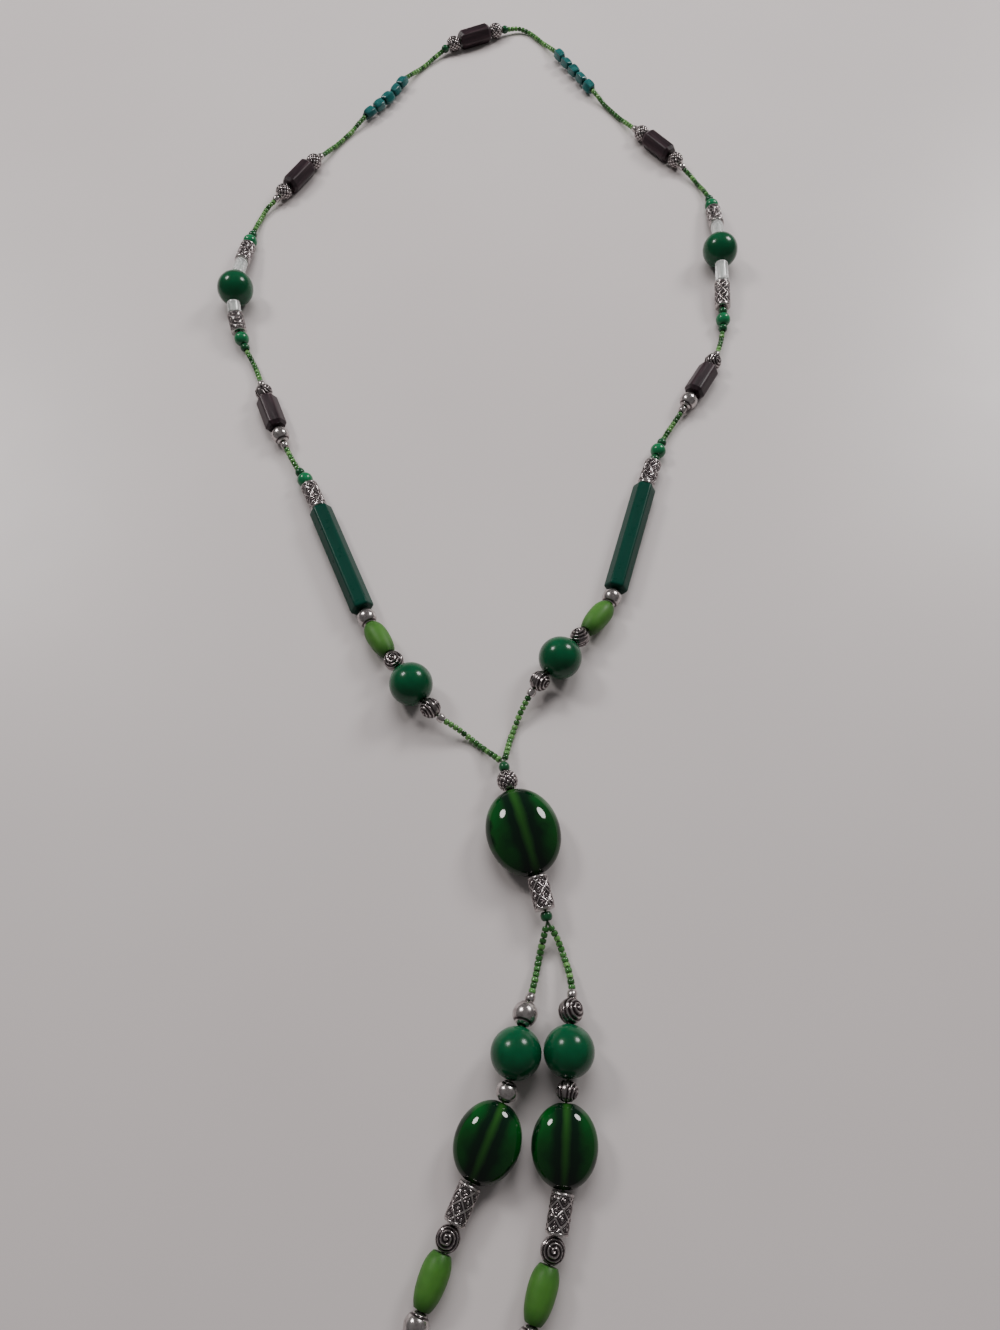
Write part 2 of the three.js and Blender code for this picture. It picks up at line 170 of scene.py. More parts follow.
# Routes over the table, seen from above.
BACK_CENTRE = (-3.0, 232.5)
BACK_ANGLE = math.radians(26)
JUNCTION = (9.1, -100.4)
ROUTE = {
    "left": [
        (-17, 224), (-30, 208), (-38, 193), (-50, 177), (-65, 154.5), (-75, 137.5),
        (-83, 126), (-86.5, 108), (-88, 84), (-87, 70), (-83, 58), (-77.5, 47),
        (-70.2, 27), (-62, 9), (-52.5, -7), (-50, -13.5), (-33, -52.5), (-23, -69.5),
        (-12, -84.5), (-1, -91.5), JUNCTION,
    ],
    "right": [
        (17, 240.5), (26, 232), (34, 219), (45, 200), (57, 182), (66, 169),
        (77, 155), (87, 140), (90, 125), (89.5, 101), (89, 82), (87.5, 63),
        (82, 48), (73, 32.5), (63.5, 17), (57.5, 2), (55.3, -4.5), (43, -45),
        (31, -62), (18, -77.5), (12, -89), JUNCTION,
    ],
}
PENDANT_ROUTE = [
    JUNCTION, (9.3, -103.2), (10.9, -109.2), (18, -133.4), (20.2, -143), (21, -149),
]
TASSEL_ROUTE = {
    "left": [
        (18.5, -153), (16.5, -162), (14.2, -168.5), (11.9, -177.2), (10, -186),
        (5.6, -196), (1.6, -205.5), (-3.5, -216.5), (-10, -232.5), (-16, -249),
    ],
    "right": [
        (24, -151), (26.6, -161), (25.8, -168), (25.2, -176.8), (24.6, -186),
        (23, -197), (23.2, -206), (21, -218), (16, -233), (11, -249),
    ],
}


# ---- Routes -----------------------------------------------------------------
def smooth_line(points, steps):
    """Catmull-Rom line through points, as close samples."""
    pts = [np.array(p, float) for p in points]
    pts = [2 * pts[0] - pts[1], *pts, 2 * pts[-1] - pts[-2]]
    out = []
    for i in range(1, len(pts) - 2):
        p0, p1, p2, p3 = pts[i - 1:i + 3]
        a, b = 0.5 * (p2 - p0), 0.5 * (p3 - p1)
        for k in range(steps):
            t = k / steps
            out.append(p1 + a * t + (-3 * p1 + 3 * p2 - 2 * a - b) * t ** 2
                       + (2 * p1 - 2 * p2 + a + b) * t ** 3)
    out.append(pts[-2])
    return out


def advance(line, place, distance):
    """The place (index, point) on a line that is distance away from another place."""
    index, point = place
    for i in range(index + 1, len(line)):
        far = np.linalg.norm(line[i] - point)
        if far < distance:
            continue
        first = i == index + 1
        near = 0.0 if first else np.linalg.norm(line[i - 1] - point)
        start = point if first else line[i - 1]
        return i - 1, start + (line[i] - start) * ((distance - near) / (far - near))
    return len(line) - 1, line[-1]


def drape(distance):
    """Share of a bead's height that a run of seeds still has, this far from the bead."""
    t = min(max(distance / DRAPE, 0.0), 1.0)
    return (1 - t) ** 2 * (1 + 2 * t)


def seed_run(line, place, length, start, end):
    """Points of a run of seeds that comes down from start and goes up to end."""
    steps = max(2, math.floor(length / SEED_STEP + 0.5))
    points = []
    here = place
    for i in range(steps + 1):
        along = length * i / steps
        if i:
            here = advance(line, here, length / steps)
        rise = (start - SEED_HEIGHT) * drape(along) + (end - SEED_HEIGHT) * drape(length - along)
        points.append(np.array([here[1][0], here[1][1], SEED_HEIGHT + rise]))
    return points, here


def chain(rows, line, height, side):
    """Links of a chain, each (kind, node, style, points), and where the chain ends."""
    links = []
    here = (0, line[0])
    for kind, node, end, extra, style in rows:
        if isinstance(extra, str) and extra != side:
            continue
        start = np.array([here[1][0], here[1][1], height])
        if kind == "seeds":
            length = extra[0] if side == "left" else extra[1]
            points, here = seed_run(line, here, length, height, end)
        else:
            reach = BEADS[kind][0] + GAP
            here = advance(line, here, math.sqrt(reach ** 2 - (end - height) ** 2))
            points = [start, np.array([here[1][0], here[1][1], end])]
        links.append((kind, node, style, points))
        height = end
    return links, here, height


# ---- Mesh building ----------------------------------------------------------
BEVEL_STEPS = 4


def ring_faces(sides, n):
    """Quads between neighbouring copies of a closed loop of n points."""
    faces = []
    for k in range(sides):
        a, b = k * n, ((k + 1) % sides) * n
        for i in range(n):
            j = (i + 1) % n
            faces.append((a + i, a + j, b + j, b + i))
    return faces


class Mesh:
    """Vertices, faces and a depth value for each vertex: 1 on top, 0 in a recess."""

    def __init__(self):
        self.verts, self.faces, self.depth = [], [], []

    def add(self, verts, faces, depth, matrix=None):
        base = sum(len(v) for v in self.verts)
        verts = np.asarray(verts, float)
        if matrix is not None:
            verts = verts @ matrix[:3, :3].T + matrix[:3, 3]
        self.verts.append(verts)
        self.faces.extend([tuple(i + base for i in f) for f in faces])
        self.depth.append(np.asarray(depth, float))


def revolve(loop, sides, radius=None, relief=None, flatness=1.0):
    """Revolves a closed [along, radius] loop about Y. Outer points take the radius
    factor, the relief and the flatness; the string hole stays round."""
    verts, depth = [], []
    for k in range(sides):
        angle = 2 * math.pi * k / sides
        factor = radius(angle) if radius else 1.0
        for along, r in loop:
            outer = r > HOLE + 0.02
            d = 1.0
            if outer:
                r = r * factor
                if relief:
                    change, d = relief(along, angle, r)
                    r += change
            x, z = r * math.sin(angle), r * math.cos(angle)
            verts.append((x, along, z * (flatness if outer else 1.0)))
            depth.append(d)
    return verts, ring_faces(sides, len(loop)), depth


def closed(outline, half):
    """Adds the end faces and the string hole to an outer outline."""
    inner = [(along, HOLE) for along in (half - 0.12, half * 0.4, -half * 0.4, -half + 0.12)]
    return list(outline) + inner


def arc_outline(length, width, steps, end_radius):
    """Outline of a ball or an oval that ends at the radius of its hole."""
    half, radius = length / 2, width / 2
    first = math.asin(end_radius / radius)
    out = []
    for i in range(steps + 1):
        t = first + (math.pi - 2 * first) * i / steps
        out.append((-half * math.cos(t) / math.cos(first), radius * math.sin(t)))
    return out


def tube_outline(length, width, bevel, steps):
    """Outline of a tube with rounded rims."""
    half, radius = length / 2, width / 2

    def rim(i):
        t = math.pi / 2 * i / BEVEL_STEPS
        return bevel * (1 - math.cos(t)), radius - bevel + bevel * math.sin(t)

    out = [(-half, HOLE + 0.15)]
    for i in range(BEVEL_STEPS + 1):
        inward, r = rim(i)
        out.append((-half + inward, r))
    for i in range(1, steps):
        out.append((-half + bevel + (length - 2 * bevel) * i / steps, radius))
    for i in range(BEVEL_STEPS, -1, -1):
        inward, r = rim(i)
        out.append((half - inward, r))
    out.append((half, HOLE + 0.15))
    return out


def smooth_step(x):
    """0 to 1 with soft ends."""
    x = min(max(x, 0.0), 1.0)
    return x * x * (3 - 2 * x)


def hexagon(round_off=0.955):
    """Radius factor of a six-sided bead with soft corners, one flat facing up."""
    def factor(angle):
        a = (angle + math.pi / 6) % (math.pi / 3) - math.pi / 6
        flat = math.cos(math.pi / 6) / math.cos(a)
        return flat if flat < round_off else round_off + (flat - round_off) * 0.3
    return factor


# A relief takes a place on the bead and returns how far the surface goes in there,
# in millimetres, with its depth value. The seed turns the pattern about the string.
def rose_relief(seed, radius):
    """Spiral wire that winds around two opposite sides of a ball."""
    pitch, depth, rim, plain = 0.36, 0.34, 1.5, 0.75
    roll = random.Random(seed).uniform(0.0, 2 * math.pi)
    tilt = random.Random(seed + 1).uniform(-0.5, 0.5)

    def relief(along, angle, r):
        x, z, y = math.sin(angle + roll), math.cos(angle + roll), along / radius + tilt * 0.3
        s = math.sqrt(max(1e-6, 1 - min(1.0, (along / radius) ** 2)))
        x, z = x * s, z * s
        polar = math.acos(min(1.0, abs(z) / math.sqrt(x * x + y * y + z * z)))
        turn = math.atan2(y, x) / (2 * math.pi)
        wave = 0.5 + 0.5 * math.cos(2 * math.pi * (polar / pitch - turn))
        edge = smooth_step((rim - polar) / 0.3)
        wave = wave * edge + (1 - edge) * plain
        return -depth * (1 - wave), wave
    return relief


def filigree_relief(seed, radius):
    """Lattice of fine wires with small drops between them and a smooth cap at each end."""
    depth, cap_start = 0.3, 0.95
    roll = random.Random(seed).uniform(0.0, 2 * math.pi)

    def relief(along, angle, r):
        lat = math.asin(min(1.0, max(-1.0, along / radius)))
        u, v = (angle + roll) * 5, lat * 5.5
        wave = abs(math.sin(u + v)) * abs(math.sin(u - v))
        wave = smooth_step(0.15 + 1.3 * wave)
        cap = smooth_step((abs(lat) - cap_start) / 0.15)
        wave = wave * (1 - cap) + cap
        return -depth * (1 - wave), wave
    return relief


def plain_relief(seed, radius):
    """Smooth, faintly dented ball with a groove near each end."""
    groove_start, groove_end, soft = 0.62, 0.8, 0.06
    roll = random.Random(seed).uniform(0.0, 6.0)

    def relief(along, angle, r):
        side = abs(along) / radius
        groove = (smooth_step((side - groove_start) / soft)
                  * smooth_step((groove_end - side) / soft))
        dent = 0.5 + 0.5 * math.sin(3 * angle + roll) * math.sin(along * 1.3 + roll)
        return -0.16 * groove - 0.04 * dent, 1 - 0.75 * groove
    return relief


def tube_relief(seed, length):
    """A net of wire diamonds, each with a smaller one and a dot inside, between rims."""
    around, lengthwise, rim = 5, 2.4, 0.8
    roll = random.Random(seed).uniform(0.0, 6.0)

    def relief(along, angle, r):
        side = abs(along) / (length / 2)
        if side > rim:
            wave = 1 - smooth_step((0.86 - side) / 0.04) * smooth_step((side - 0.81) / 0.03)
            return -0.25 * (1 - wave), wave
        u = (angle + roll) / (2 * math.pi) * around
        v = along / length * lengthwise + 0.25
        across, up = (u % 1.0) - 0.5, (v % 1.0) - 0.5
        diamond = abs(across) + abs(up)
        wire = 1 - smooth_step((abs(diamond - 0.5) - 0.06) / 0.07)
        if diamond > 0.5:
            across, up, diamond = 0.5 - abs(across), 0.5 - abs(up), 1 - diamond
        inner = 1 - smooth_step((abs(diamond - 0.27) - 0.03) / 0.05)
        dot = 1 - smooth_step((math.hypot(across, up) - 0.08) / 0.06)
        wave = min(1.0, 0.08 + 0.92 * max(wire, 0.7 * inner, dot))
        return -0.3 * (1 - wave), wave
    return relief


STYLES = {"rose": rose_relief, "filigree": filigree_relief, "plain": plain_relief}


def nugget_mesh(seed):
    """An angular, tumbled chip with a hole through it: five flats and slanting ends."""
    flats = 5
    pick = random.Random(seed)
    length, width = BEADS["nugget"]
    half = length / 2
    corners = sorted((i + pick.uniform(-0.2, 0.2)) * 2 * math.pi / flats for i in range(flats))
    reach = [pick.uniform(0.78, 1.0) for _ in corners]
    skew = pick.choice((-1, 1)) * pick.uniform(0.3, 0.7)

    def factor(angle):
        best = 0.98
        for corner, share in zip(corners, reach):
            facing = math.cos(angle - corner)
            if facing > 0.2:
                best = min(best, 0.84 * share / facing)
        return best

    end = ((0.5, 0.97), (0.84, 0.9), (0.94, 0.8), (1, 0.66), (1, 0.42))
    profile = [(-t, r) for t, r in reversed(end)] + [(0, 1.0), *end]
    outline = [(t * half, r * width / 2) for t, r in profile]
    verts, faces, depth = revolve(closed(outline, half), 40, factor)
    slant = skew * 0.22
    verts = [(x, y * (0.9 + 0.02 * skew) + (slant * x if abs(y) > half * 0.4 else 0), z)
             for x, y, z in verts]
    return verts, faces, depth


def bead_mesh(kind, style, seed):
    """Vertices, faces and depths of one bead, with its string along Y."""
    length, width = BEADS[kind]
    half, radius = length / 2, width / 2
    if kind in SILVER_BALLS:
        outline = arc_outline(length, width, 44, HOLE + 0.35)
        return revolve(closed(outline, half), 72, None, STYLES[style or "plain"](seed, radius))
    if kind in SILVER_TUBES:
        outline = tube_outline(length, width, 0.5, 60)
        return revolve(closed(outline, half), 84, None, tube_relief(seed, length))
    if kind in CLEAR_TUBES:
        return revolve(closed(tube_outline(length, width, 0.45, 8), half), 48)
    if kind == "long_tube":
        return revolve(closed(tube_outline(length, width, 0.75, 24), half), 120, hexagon())
    if kind == "barrel":
        steps, narrowing = 24, 0.22
        outline = [(-half, HOLE + 0.2)]
        for i in range(steps + 1):
            t = -1 + 2 * i / steps
            end = smooth_step((abs(t) - 0.8) / 0.2)
            outline.append((t * half, radius * (1 - narrowing * end ** 1.4)))
        outline.append((half, HOLE + 0.2))
        return revolve(closed(outline, half), 96, hexagon(0.945))
    if kind == "big_ball":
        return revolve(closed(arc_outline(length, width, 48, HOLE + 0.2), half), 72)
    if kind == "lime_drop":
        steps, widest, blunt, end_share = 32, -0.22, 2.3, 0.42
        outline = [(-half, HOLE + 0.2)]
        for i in range(steps + 1):
            t = -1 + 2 * i / steps
            reach = 0.98 if t < widest else 1.45
            body = math.sqrt(max(0.0, 1 - abs((t - widest) / reach) ** blunt))
            outline.append((t * half, radius * max(body, end_share)))
        outline.append((half, HOLE + 0.2))
        return revolve(closed(outline, half), 56)
    if kind in THICKNESS:
        flatness = THICKNESS[kind] / width
        outline = arc_outline(length, width, 64, (HOLE + 0.2) / flatness)
        return revolve(closed(outline, half), 112, None, None, flatness)
    if kind == "nugget":
        return nugget_mesh(seed)
    if kind == "medium_round":
        return revolve(closed(arc_outline(length, width, 24, HOLE + 0.3), half), 40)
    # Small spacer beads.
    outline = arc_outline(length, width, 14, HOLE + 0.25)
    return revolve(closed(outline, half), 26)


def link_matrix(a, b, roll=0.0):
    """Frame in the middle of a link, with Y along it and Z up when roll is 0."""
    along = (b - a) / np.linalg.norm(b - a)
    side = np.cross(along, (0.0, 0.0, 1.0))
    side /= np.linalg.norm(side)
    up = np.cross(side, along)
    c, s = math.cos(roll), math.sin(roll)
    m = np.eye(4)
    m[:3, 0], m[:3, 1], m[:3, 2] = side * c + up * s, along, up * c - side * s
    m[:3, 3] = (a + b) / 2
    return m


def seed_profile(length, width):
    """Closed loop of a seed bead: bulging side, flat ends and string hole."""
    half, radius, steps, bulge, end_drop = length / 2, width / 2, 6, 0.3, 0.38
    loop = []
    for i in range(steps + 1):
        t = math.pi * i / steps
        r = radius - end_drop
        if 0 < i < steps:
            r = radius - bulge + bulge * math.sin(t) ** 0.7
        loop.append((-half * math.cos(t), r))
    loop += [(half * 0.82, SEED_HOLE), (-half * 0.82, SEED_HOLE)]
    return loop


def seeds_mesh(mesh, points, trim_start, trim_end, pick):
    """Individual seed beads along a run. Each has its own tint in the depth value."""
    line = [np.array([x, y, max(z, SEED_FLOOR)]) for x, y, z in smooth_line(points, 12)]
    lengths = [0.0]
    for a, b in zip(line, line[1:]):
        lengths.append(lengths[-1] + float(np.linalg.norm(b - a)))
    start, end = trim_start, lengths[-1] - trim_end
    count = max(1, round((end - start) / SEED_PITCH))
    pitch = (end - start) / count
    for i in range(count):
        s0, s1 = start + i * pitch, start + (i + 1) * pitch
        a, b = (np.array([np.interp(s, lengths, [p[k] for p in line]) for k in range(3)])
                for s in (s0, s1))
        width = SEED_WIDTH * pick.uniform(0.92, 1.0)
        length = pitch - pick.uniform(0.16, 0.30)
        loop = seed_profile(length, width)
        squash = pick.uniform(0.94, 1.0)
        verts = []
        for k in range(SEED_SIDES):
            angle = 2 * math.pi * k / SEED_SIDES
            for along, r in loop:
                verts.append((r * math.sin(angle) * squash, along, r * math.cos(angle)))
        tint = pick.random()
        faces = ring_faces(SEED_SIDES, len(loop))
        mesh.add(verts, faces, [tint] * len(verts), link_matrix(a, b, pick.uniform(0, 6)))


def thread_mesh(mesh, points):
    """The thread as short closed cylinders that reach a little into each other."""
    overlap, total = 0.03, 2 * THREAD_SIDES
    for a, b in zip(points, points[1:]):
        half = float(np.linalg.norm(b - a)) / 2 + overlap
        verts = []
        for k in range(THREAD_SIDES):
            t = 2 * math.pi * k / THREAD_SIDES
            verts += [(THREAD * math.sin(t), y, THREAD * math.cos(t)) for y in (-half, half)]
        faces = [(i, i + 1, (i + 3) % total, (i + 2) % total) for i in range(0, total, 2)]
        faces += [tuple(range(total - 2, -1, -2)), tuple(range(1, total, 2))]
        mesh.add(verts, faces, [1.0] * total, link_matrix(a, b))


def make_object(name, mesh, material, sharp, place=None):
    """A Blender object from a mesh in millimetres. Edges over the sharp angle, in
    degrees, stay crisp. place: the object's own frame, or None for the world's."""
    data = bpy.data.meshes.new(name)
    verts = np.concatenate(mesh.verts) * MM
    data.from_pydata(verts.tolist(), [], mesh.faces)
    attribute = data.attributes.new("depth", "FLOAT", "POINT")
    attribute.data.foreach_set("value", np.concatenate(mesh.depth).astype(np.float32))
    data.polygons.foreach_set("use_smooth", [True] * len(data.polygons))
    data.validate()
    data.update()
    data.materials.append(material)
    obj = bpy.data.objects.new(name, data)
    bpy.context.scene.collection.objects.link(obj)
    recalc(obj)
    data.set_sharp_from_angle(angle=math.radians(sharp))
    if place is not None:
        obj.matrix_world = place
    return obj


def recalc(obj):
    """Turns every face outward."""
    bm = bmesh.new()
    bm.from_mesh(obj.data)
    bmesh.ops.recalc_face_normals(bm, faces=bm.faces)
    bm.to_mesh(obj.data)
    bm.free()


# ---- Materials --------------------------------------------------------------
def new_material(name):
    """A material with its nodes, its links and its shader."""
    material = bpy.data.materials.new(name)
    material.use_nodes = True
    nodes, links = material.node_tree.nodes, material.node_tree.links
    return material, nodes, links, nodes["Principled BSDF"]


def noise(nodes, links, scale, detail, stretch=(1, 1, 1), rough=0.55):
    """Noise in the object's own coordinates, in metres."""
    where = nodes.new("ShaderNodeTexCoord")
    mapping = nodes.new("ShaderNodeMapping")
    mapping.inputs["Scale"].default_value = stretch
    texture = nodes.new("ShaderNodeTexNoise")
    texture.inputs["Scale"].default_value = scale
    texture.inputs["Detail"].default_value = detail
    texture.inputs["Roughness"].default_value = rough
    links.new(where.outputs["Object"], mapping.inputs["Vector"])
    links.new(mapping.outputs["Vector"], texture.inputs["Vector"])
    return texture.outputs["Fac"]


def ramp(nodes, links, source, stops):
    """Colours at (position, colour) stops."""
    node = nodes.new("ShaderNodeValToRGB")
    elements = node.color_ramp.elements
    while len(elements) < len(stops):
        elements.new(0.5)
    for element, (at, color) in zip(elements, stops):
        element.position = at
        element.color = (*color, 1.0)
    links.new(source, node.inputs["Fac"])
    return node.outputs["Color"]


def multiply(nodes, links, a, b, amount=1.0):
    """Product of two colours, by amount."""
    node = nodes.new("ShaderNodeMix")
    node.data_type = "RGBA"
    node.blend_type = "MULTIPLY"
    node.inputs["Factor"].default_value = amount
    links.new(a, node.inputs["A"])
    links.new(b, node.inputs["B"])
    return node.outputs["Result"]


def bump(nodes, links, height, shader, strength, distance):
    """Fine relief from a height, distance deep in metres."""
    node = nodes.new("ShaderNodeBump")
    node.inputs["Strength"].default_value = strength
    node.inputs["Distance"].default_value = distance
    links.new(height, node.inputs["Height"])
    links.new(node.outputs["Normal"], shader.inputs["Normal"])


def value_ramp(nodes, links, source, low, high, start=0.3, end=0.7):
    """Maps start...end, by default a noise's usual range, to low...high."""
    node = nodes.new("ShaderNodeMapRange")
    node.inputs["From Min"].default_value = start
    node.inputs["From Max"].default_value = end
    node.inputs["To Min"].default_value = low
    node.inputs["To Max"].default_value = high
    links.new(source, node.inputs["Value"])
    return node.outputs["Result"]


def depth_value(nodes):
    """The depth that each mesh stores at its vertices."""
    node = nodes.new("ShaderNodeAttribute")
    node.attribute_name = "depth"
    return node.outputs["Fac"]


def set_inputs(shader, values):
    for name, value in values.items():
        shader.inputs[name].default_value = value


def silver_material():
    """Antique silver: bright where the relief is high, black in its recesses."""
    material, nodes, links, shader = new_material("antique_silver")
    depth = depth_value(nodes)
    tone = ramp(nodes, links, depth, [
        (0.0, (0.030, 0.022, 0.024)), (0.4, (0.11, 0.092, 0.094)),
        (0.8, (0.38, 0.345, 0.345)), (1.0, (0.62, 0.58, 0.57))])
    tarnish = ramp(nodes, links, noise(nodes, links, 900, 4), [
        (0.3, (0.55, 0.52, 0.53)), (0.6, (1.0, 1.0, 1.0))])
    links.new(multiply(nodes, links, tone, tarnish, 0.9), shader.inputs["Base Color"])
    set_inputs(shader, {"Metallic": 0.95})
    links.new(value_ramp(nodes, links, noise(nodes, links, 1400, 3), 0.14, 0.28),
              shader.inputs["Roughness"])
    bump(nodes, links, noise(nodes, links, 2600, 3), shader, 0.15, 0.0002)
    return material


def big_ball_material():
    """Even, opaque green stone or glass with a soft shine."""
    material, nodes, links, shader = new_material("big_ball_green")
    cloud = noise(nodes, links, 110, 4)
    tint = ramp(nodes, links, cloud, [
        (0.3, (0.0004, 0.052, 0.019)), (0.55, (0.0008, 0.074, 0.027)),
        (0.75, (0.0013, 0.098, 0.036))])
    links.new(tint, shader.inputs["Base Color"])
    links.new(value_ramp(nodes, links, noise(nodes, links, 400, 2), 0.17, 0.24),
              shader.inputs["Roughness"])
    set_inputs(shader, {"IOR": 1.42, "Subsurface Weight": 0.12,
                        "Subsurface Radius": (0.3, 1.0, 0.5), "Subsurface Scale": 0.002})
    return material


def oval_material(name, half_width, half_length):
    """Dark green glass, with the light that shines through it painted into its colour: a
    lighter stripe along the string hole, near-black strips beside it, greener towards
    the rim, and painted light that brightens it more towards the lower end."""
    material, nodes, links, shader = new_material(name)
    where = nodes.new("ShaderNodeTexCoord")
    split = nodes.new("ShaderNodeSeparateXYZ")
    links.new(where.outputs["Object"], split.inputs["Vector"])

    def math_node(kind, a, b=None):
        node = nodes.new("ShaderNodeMath")
        node.operation = kind
        for i, value in enumerate((a, b)):
            if value is None:
                continue
            if isinstance(value, (int, float)):
                node.inputs[i].default_value = value
            else:
                links.new(value, node.inputs[i])
        return node.outputs["Value"]

    wobble = math_node("ADD", math_node("MULTIPLY", noise(nodes, links, 110, 3), 1.5), 0.25)
    across = math_node("MULTIPLY", math_node("ABSOLUTE", math_node(
        "MULTIPLY", split.outputs["X"], 1.0 / (half_width * MM))), wobble)
    # Painted light through the glass: lighter over the string hole, near-black beside it,
    # greener at the rim.
    painted_light_bands = ramp(nodes, links, across, [
        (0.0, (0.009, 0.050, 0.007)), (0.055, (0.007, 0.040, 0.006)),
        (0.17, (0.0005, 0.007, 0.003)), (0.32, (0.0005, 0.009, 0.003)),
        (0.52, (0.0010, 0.034, 0.005)), (0.84, (0.0020, 0.056, 0.007)),
        (0.97, (0.0005, 0.018, 0.004))])
    # Painted light through the glass, brighter towards the lower (negative Y) end.
    along = math_node("MULTIPLY", split.outputs["Y"], -1.0 / (half_length * MM))
    painted_glow = ramp(nodes, links, value_ramp(nodes, links, along, 0.0, 1.0, -1.0, 1.0), [
        (0.0, (0.62, 0.62, 0.62)), (0.55, (0.9, 0.9, 0.9)), (0.85, (1.5, 1.5, 1.5))])
    links.new(multiply(nodes, links, painted_light_bands, painted_glow), shader.inputs["Base Color"])
    links.new(value_ramp(nodes, links, noise(nodes, links, 260, 2), 0.03, 0.07),
              shader.inputs["Roughness"])
    set_inputs(shader, {"IOR": 1.45})
    return material


def seed_material():
    """Green glass whose tint differs from seed to seed."""
    material, nodes, links, shader = new_material("seed_glass")
    tint = ramp(nodes, links, depth_value(nodes), [
        (0.0, (0.020, 0.11, 0.022)), (0.5, (0.10, 0.33, 0.08)), (1.0, (0.28, 0.60, 0.18))])
    cloud = ramp(nodes, links, noise(nodes, links, 500, 2), [
        (0.3, (0.7, 0.7, 0.7)), (0.7, (1.0, 1.0, 1.0))])
    links.new(multiply(nodes, links, tint, cloud), shader.inputs["Base Color"])
    links.new(value_ramp(nodes, links, noise(nodes, links, 900, 2), 0.08, 0.2),
              shader.inputs["Roughness"])
    set_inputs(shader, {"Transmission Weight": 0.5, "IOR": 1.5})
    return material


def cloudy_material(name, dark, light, rough=(0.12, 0.24), scale=300):
    """Opaque, between a dark and a light colour. rough: lowest and highest."""
    material, nodes, links, shader = new_material(name)
    links.new(ramp(nodes, links, noise(nodes, links, scale, 4), [(0.3, dark), (0.7, light)]),
              shader.inputs["Base Color"])
    links.new(value_ramp(nodes, links, noise(nodes, links, scale * 2, 3), *rough),
              shader.inputs["Roughness"])
    return material


def long_tube_material():
    """Dark teal, with faint streaks along the bead."""
    material, nodes, links, shader = new_material("teal_tube")
    streak = noise(nodes, links, 200, 2, (1, 0.12, 1))
    tint = ramp(nodes, links, streak, [
        (0.3, (0.0006, 0.034, 0.022)), (0.55, (0.0008, 0.040, 0.026)),
        (0.78, (0.0014, 0.048, 0.031))])
    links.new(tint, shader.inputs["Base Color"])
    links.new(value_ramp(nodes, links, noise(nodes, links, 420, 3), 0.26, 0.34),
              shader.inputs["Roughness"])
    set_inputs(shader, {"Specular IOR Level": 0.16})
    return material


def wood_material():
    """Near-black wood with its grain along the bead."""
    material, nodes, links, shader = new_material("dark_wood")
    grain = noise(nodes, links, 420, 6, (1, 0.10, 1), 0.65)
    fine = noise(nodes, links, 1500, 4, (1, 0.05, 1), 0.6)
    tone = ramp(nodes, links, grain, [
        (0.3, (0.009, 0.004, 0.007)), (0.5, (0.022, 0.009, 0.014)),
        (0.72, (0.050, 0.022, 0.030))])
    pores = ramp(nodes, links, fine, [(0.38, (0.45, 0.42, 0.44)), (0.5, (1.0, 1.0, 1.0))])
    links.new(multiply(nodes, links, tone, pores), shader.inputs["Base Color"])
    links.new(value_ramp(nodes, links, grain, 0.32, 0.5), shader.inputs["Roughness"])
    bump(nodes, links, fine, shader, 0.25, 0.0003)
    return material


def clear_material():
    """Colourless glass, a little milky."""
    material, nodes, links, shader = new_material("clear_glass")
    tint = ramp(nodes, links, noise(nodes, links, 250, 2), [
        (0.3, (0.86, 0.90, 0.88)), (0.7, (0.96, 0.97, 0.96))])
    links.new(tint, shader.inputs["Base Color"])
    links.new(value_ramp(nodes, links, noise(nodes, links, 600, 2), 0.03, 0.10),
              shader.inputs["Roughness"])
    set_inputs(shader, {"Transmission Weight": 0.72, "IOR": 1.5})
    return material


def lime_material():
    """Frosted lime glass, darker at both ends."""
    half_length = BEADS["lime_drop"][0] / 2 * MM
    material, nodes, links, shader = new_material("lime_glass")
    where = nodes.new("ShaderNodeTexCoord")
    split = nodes.new("ShaderNodeSeparateXYZ")
    links.new(where.outputs["Object"], split.inputs["Vector"])
    fade = value_ramp(nodes, links, split.outputs["Y"], 0.0, 1.0, -half_length, half_length)
    body = ramp(nodes, links, fade, [
        (0.0, (0.026, 0.105, 0.012)), (0.3, (0.062, 0.190, 0.026)),
        (0.7, (0.060, 0.180, 0.026)), (1.0, (0.022, 0.088, 0.011))])
    cloud = ramp(nodes, links, noise(nodes, links, 220, 3), [
        (0.3, (0.8, 0.82, 0.8)), (0.7, (1.0, 1.0, 1.0))])
    links.new(multiply(nodes, links, body, cloud), shader.inputs["Base Color"])
    links.new(value_ramp(nodes, links, noise(nodes, links, 900, 3), 0.42, 0.56),
              shader.inputs["Roughness"])
    set_inputs(shader, {"Specular IOR Level": 0.35, "Subsurface Weight": 0.5,
                        "Subsurface Radius": (0.6, 1.0, 0.3), "Subsurface Scale": 0.003})
    return material


def table_material():
    """Pale, nearly even table top."""
    material, nodes, links, shader = new_material("table")
    tint = ramp(nodes, links, noise(nodes, links, 6, 3), [
        (0.3, (0.560, 0.515, 0.512)), (0.7, (0.595, 0.550, 0.546))])
    links.new(tint, shader.inputs["Base Color"])
    links.new(value_ramp(nodes, links, noise(nodes, links, 60, 4), 0.375, 0.395),
              shader.inputs["Roughness"])
    return material


